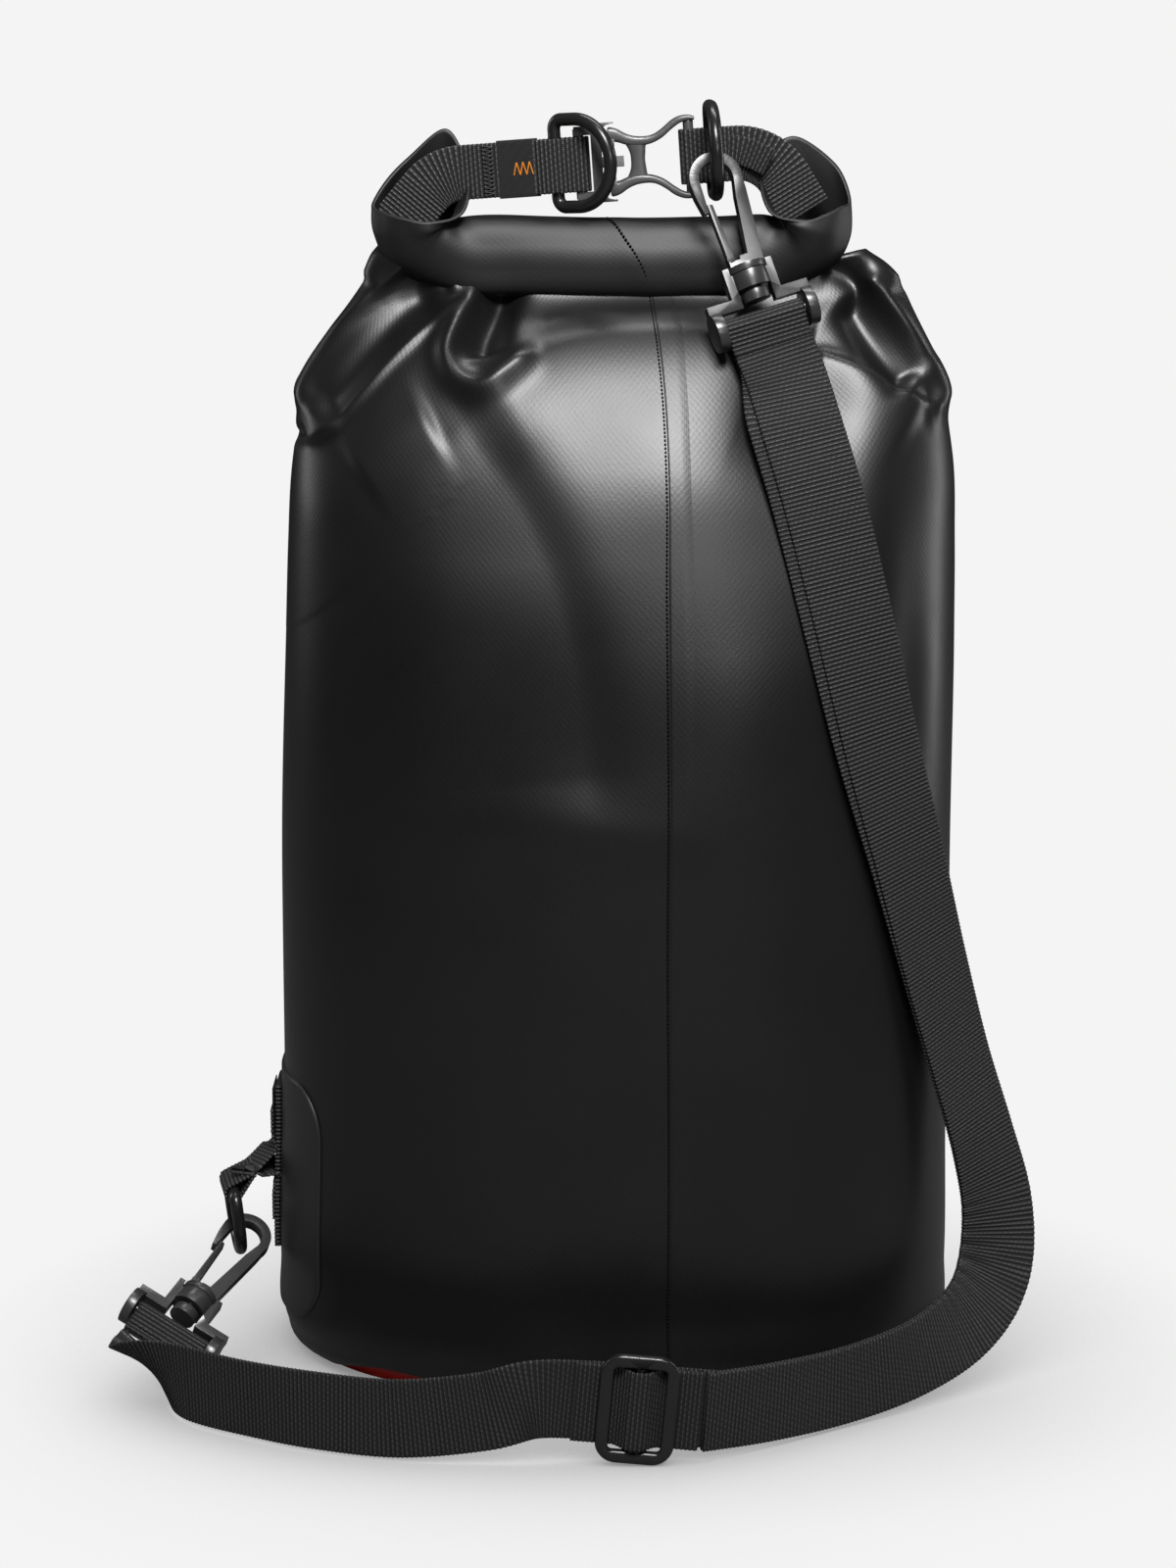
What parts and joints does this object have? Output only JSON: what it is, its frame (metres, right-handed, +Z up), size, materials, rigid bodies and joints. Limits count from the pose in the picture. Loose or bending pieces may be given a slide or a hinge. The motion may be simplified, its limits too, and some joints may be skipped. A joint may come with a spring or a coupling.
{
  "type": "roll-top dry bag",
  "caption": "Roll-top dry bag in coated fabric with a side-release closure, D-rings and a detachable, adjustable webbing shoulder strap on swivel snap hooks.",
  "frame": {"origin": "centre of the oval base, on the surface that the bag stands on", "axes": "+Z up; +X along the rolled mouth, towards the end that carries the upper snap hook; -Y is the side with the back seam"},
  "size_m": [0.4424, 0.2713, 0.6035],
  "materials": {
    "tarpaulin": "woven PVC-coated fabric with a satin sheen",
    "tarpaulin_trim": "smooth PVC-coated fabric, satin",
    "base_fabric": "smooth PVC-coated fabric, satin",
    "stiffener": "plain",
    "closure_webbing": "ribbed polyester webbing",
    "label": "fine woven tape",
    "thread": "stitched thread",
    "buckle_plastic": "satin moulded plastic",
    "ring_plastic": "moulded plastic with a soft gloss",
    "hook_metal": "satin moulded plastic",
    "shoulder_webbing": "ribbed polyester webbing",
    "slider_plastic": "glossy moulded plastic"
  },
  "bodies": {
    "bag": {"bag_body": "tarpaulin", "base_panel": "base_fabric", "back_seam": "tarpaulin", "roll_top": "tarpaulin", "mouth_stiffener": "stiffener", "closure_webbing_left": "closure_webbing", "closure_webbing_right": "closure_webbing", "webbing_tongue": "closure_webbing", "closure_label": "label", "bar_tack_left": "thread", "bar_tack_right": "thread", "buckle_male": "buckle_plastic", "buckle_female": "buckle_plastic", "side_patch": "tarpaulin_trim", "patch_webbing": "closure_webbing", "patch_tack_upper": "thread", "patch_tack_lower": "thread", "ring_loop": "closure_webbing", "strap_doubled": "shoulder_webbing", "strap_single": "shoulder_webbing"},
    "buckle_arm_upper_body": {"buckle_arm_upper": "buckle_plastic"},
    "buckle_arm_lower_body": {"buckle_arm_lower": "buckle_plastic"},
    "left_ring": {"d_ring_left": "ring_plastic"},
    "right_ring": {"d_ring_right": "ring_plastic"},
    "upper_frame": {"upper_hook_frame": "hook_metal", "strap_loop_upper": "shoulder_webbing"},
    "upper_snap": {"upper_hook": "hook_metal"},
    "upper_gate": {"upper_hook_gate": "hook_metal"},
    "lower_ring": {"d_ring_lower": "ring_plastic"},
    "lower_frame": {"lower_hook_frame": "hook_metal", "strap_loop_lower": "shoulder_webbing", "strap_stitching": "thread"},
    "lower_snap": {"lower_hook": "hook_metal"},
    "lower_gate": {"lower_hook_gate": "hook_metal"},
    "slider": {"strap_slider": "slider_plastic", "slider_webbing": "shoulder_webbing"}
  },
  "joints": [
    {"name": "buckle_arm_upper_squeeze", "type": "hinge", "parent": "bag", "child": "buckle_arm_upper_body", "pos_m": [-0.0041, 0, 0.58961], "axis": [0, 1, 0], "range_deg": [0, 5], "stiffness_Nm_per_rad": 0.05},
    {"name": "buckle_arm_lower_squeeze", "type": "hinge", "parent": "bag", "child": "buckle_arm_lower_body", "pos_m": [-0.00202, 0, 0.55988], "axis": [0, -1, 0], "range_deg": [0, 5], "stiffness_Nm_per_rad": 0.05},
    {"name": "left_ring_swing", "type": "hinge", "parent": "bag", "child": "left_ring", "pos_m": [-0.02807, 0, 0.574], "axis": [-0.0698, 0, 0.9976], "range_deg": [-110, 5]},
    {"name": "right_ring_swing", "type": "hinge", "parent": "bag", "child": "right_ring", "pos_m": [0.04365, 0, 0.58052], "axis": [-0.0698, 0, 0.9976], "range_deg": [-5, 10], "deforming": ["strap_doubled"]},
    {"name": "upper_hook_swing", "type": "hinge", "parent": "right_ring", "child": "upper_frame", "pos_m": [0.04596, -0.02344, 0.56417], "axis": [-0.0009, 0.8195, -0.5731], "range_deg": [-10, 30], "deforming": ["strap_doubled"]},
    {"name": "upper_hook_swivel", "type": "hinge", "parent": "upper_frame", "child": "upper_snap", "pos_m": [0.04472, -0.02236, 0.56782], "axis": [-0.3283, 0.2656, 0.9064], "range_deg": [-30, 30]},
    {"name": "upper_gate_open", "type": "hinge", "parent": "upper_snap", "child": "upper_gate", "pos_m": [0.05164, -0.03379, 0.5323], "axis": [-0.1594, 0.9303, -0.3303], "range_deg": [0, 20], "stiffness_Nm_per_rad": 0.05},
    {"name": "lower_ring_swing", "type": "hinge", "parent": "bag", "child": "lower_ring", "pos_m": [-0.189, -0.008, 0.078], "axis": [0.2, -0.9798, 0], "range_deg": [-35, 0], "deforming": ["strap_single"]},
    {"name": "lower_hook_swing", "type": "hinge", "parent": "lower_ring", "child": "lower_frame", "pos_m": [-0.18344, -0.02251, 0.05328], "axis": [0.0516, -0.6453, 0.7622], "range_deg": [-20, 30], "deforming": ["strap_single"]},
    {"name": "lower_hook_swivel", "type": "hinge", "parent": "lower_frame", "child": "lower_snap", "pos_m": [-0.18163, -0.0193, 0.05484], "axis": [0.4505, 0.8024, 0.3914], "range_deg": [-30, 30]},
    {"name": "lower_gate_open", "type": "hinge", "parent": "lower_snap", "child": "lower_gate", "pos_m": [-0.20348, -0.04789, 0.04277], "axis": [-0.2598, 0.5373, -0.8024], "range_deg": [0, 20], "stiffness_Nm_per_rad": 0.05},
    {"name": "slider_slide", "type": "slide", "parent": "bag", "child": "slider", "axis": [0.9962, 0, -0.0872], "range_m": [-0.02, 0.02], "deforming": ["strap_doubled", "strap_single"]}
  ]
}
